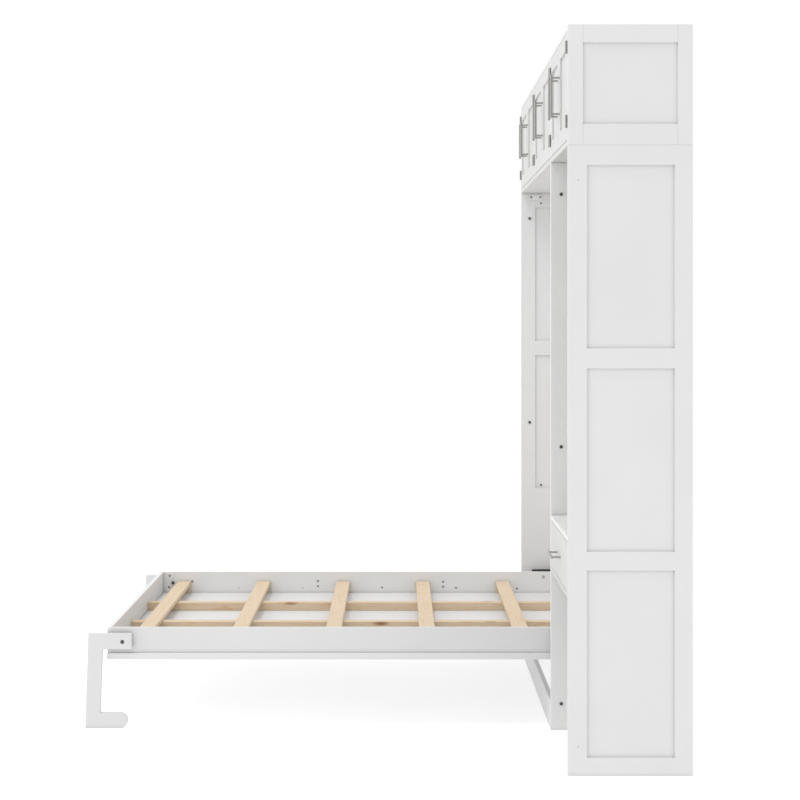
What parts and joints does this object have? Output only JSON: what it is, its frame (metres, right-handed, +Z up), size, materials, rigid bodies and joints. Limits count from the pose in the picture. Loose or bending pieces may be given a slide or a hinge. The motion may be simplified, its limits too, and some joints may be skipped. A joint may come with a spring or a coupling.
{
  "type": "wall bed",
  "caption": "White wall bed on a slatted frame that folds down on hooked legs from a tall cabinet, with a desk tower and overhead cupboards.",
  "frame": {"origin": "on the floor, at the middle of the ground plan with the bed lowered", "axes": "+Z up, +Y towards the wall behind the cabinet, +X along the wall from the bed to the desk tower"},
  "size_m": [2.15, 2.134, 2.49],
  "materials": {
    "white_lacquer": "satin white lacquer on fibreboard",
    "pine": "bare planed pine",
    "black_steel": "black powder coat",
    "nickel": "brushed dark nickel",
    "bright_steel": "zinc plated steel",
    "nylon": "natural nylon"
  },
  "bodies": {
    "cabinet": {"base_rail": "white_lacquer", "case_hinge_leaves": "nickel", "case_pivot_plates": "black_steel", "desk_top": "white_lacquer", "drawer_floor": "white_lacquer", "drawer_slides_fixed": "bright_steel", "gas_spring_studs": "bright_steel", "hinge_pins": "nickel", "left_side_panel": "white_lacquer", "middle_upright": "white_lacquer", "pivot_pins": "bright_steel", "rear_bottom_rail": "white_lacquer", "rear_top_rail": "white_lacquer", "stop_plates": "nickel", "top_back": "white_lacquer", "top_case_bottom": "white_lacquer", "top_case_lid": "white_lacquer", "top_dividers": "white_lacquer", "top_sides": "white_lacquer", "tower_back": "white_lacquer", "tower_side_panel": "white_lacquer", "upright_bolts": "nickel"},
    "left_leg": {"left_leg": "white_lacquer"},
    "right_leg": {"right_leg": "white_lacquer"},
    "left_spring_tube": {"left_gas_spring_tube": "black_steel"},
    "right_spring_tube": {"right_gas_spring_tube": "black_steel"},
    "left_spring_rod": {"left_gas_spring_rod": "bright_steel"},
    "right_spring_rod": {"right_gas_spring_rod": "bright_steel"},
    "bed": {"left_bed_rail": "white_lacquer", "right_bed_rail": "white_lacquer", "foot_rail": "white_lacquer", "head_rail": "white_lacquer", "face_board_left": "white_lacquer", "face_board_middle": "white_lacquer", "face_board_right": "white_lacquer", "slat_cleats": "pine", "slat_runners": "pine", "slats": "pine", "leg_bolts": "nickel", "rail_pivot_plates": "black_steel", "pivot_bushes": "nylon", "bed_pull_handles": "nickel"},
    "drawer": {"drawer_front": "white_lacquer", "drawer_sides": "white_lacquer", "drawer_back": "white_lacquer", "drawer_bottom": "white_lacquer", "drawer_slides_moving": "bright_steel", "drawer_handle": "nickel"},
    "door_left_a": {"door_left_a": "white_lacquer", "door_left_a_hardware": "nickel"},
    "door_left_b": {"door_left_b": "white_lacquer", "door_left_b_hardware": "nickel"},
    "door_middle_a": {"door_middle_a": "white_lacquer", "door_middle_a_hardware": "nickel"},
    "door_middle_b": {"door_middle_b": "white_lacquer", "door_middle_b_hardware": "nickel"},
    "door_right_a": {"door_right_a": "white_lacquer", "door_right_a_hardware": "nickel"},
    "door_right_b": {"door_right_b": "white_lacquer", "door_right_b_hardware": "nickel"}
  },
  "joints": [
    {"name": "bed_fold", "type": "hinge", "parent": "cabinet", "child": "bed", "pos_m": [-0.315, 0.749, 0.345], "axis": [-1, 0, 0], "range_deg": [0, 90]},
    {"name": "left_leg_swing", "type": "hinge", "parent": "bed", "child": "left_leg", "pos_m": [-1.037, -0.93, 0.319], "axis": [-1, 0, 0], "range_deg": [-90, 0]},
    {"name": "right_leg_swing", "type": "hinge", "parent": "bed", "child": "right_leg", "pos_m": [0.407, -0.93, 0.319], "axis": [-1, 0, 0], "range_deg": [-90, 0]},
    {"name": "left_spring_swing", "type": "hinge", "parent": "cabinet", "child": "left_spring_tube", "pos_m": [-1.039, 1, 0.711], "axis": [-1, 0, 0], "range_deg": [0, 15.99]},
    {"name": "left_spring_stroke", "type": "slide", "parent": "left_spring_tube", "child": "left_spring_rod", "axis": [0, -0.138, -0.9904], "range_m": [0, 0.24964]},
    {"name": "right_spring_swing", "type": "hinge", "parent": "cabinet", "child": "right_spring_tube", "pos_m": [0.409, 1, 0.711], "axis": [-1, 0, 0], "range_deg": [0, 15.99]},
    {"name": "right_spring_stroke", "type": "slide", "parent": "right_spring_tube", "child": "right_spring_rod", "axis": [0, -0.138, -0.9904], "range_m": [0, 0.24964]},
    {"name": "drawer_slide", "type": "slide", "parent": "cabinet", "child": "drawer", "axis": [0, -1, 0], "range_m": [0, 0.28]},
    {"name": "door_left_a_hinge", "type": "hinge", "parent": "cabinet", "child": "door_left_a", "pos_m": [-1.052, 0.6488, 2.29], "axis": [0, 0, -1], "range_deg": [0, 85]},
    {"name": "door_left_b_hinge", "type": "hinge", "parent": "cabinet", "child": "door_left_b", "pos_m": [-0.325, 0.6488, 2.29], "axis": [0, 0, 1], "range_deg": [0, 85]},
    {"name": "door_middle_a_hinge", "type": "hinge", "parent": "cabinet", "child": "door_middle_a", "pos_m": [-0.305, 0.6488, 2.29], "axis": [0, 0, -1], "range_deg": [0, 85]},
    {"name": "door_middle_b_hinge", "type": "hinge", "parent": "cabinet", "child": "door_middle_b", "pos_m": [0.422, 0.6488, 2.29], "axis": [0, 0, 1], "range_deg": [0, 85]},
    {"name": "door_right_a_hinge", "type": "hinge", "parent": "cabinet", "child": "door_right_a", "pos_m": [0.446, 0.6488, 2.29], "axis": [0, 0, -1], "range_deg": [0, 85]},
    {"name": "door_right_b_hinge", "type": "hinge", "parent": "cabinet", "child": "door_right_b", "pos_m": [1.052, 0.6488, 2.29], "axis": [0, 0, 1], "range_deg": [0, 85]}
  ],
  "couplings": [
    {"joint": "left_leg_swing", "follows": "bed_fold", "ratio": -1},
    {"joint": "right_leg_swing", "follows": "bed_fold", "ratio": -1},
    {"joint": "left_spring_swing", "follows": "bed_fold", "ratio": 0.17759},
    {"joint": "left_spring_stroke", "follows": "bed_fold", "m_per_rad": 0.15891},
    {"joint": "right_spring_swing", "follows": "bed_fold", "ratio": 0.17759},
    {"joint": "right_spring_stroke", "follows": "bed_fold", "m_per_rad": 0.15891}
  ]
}
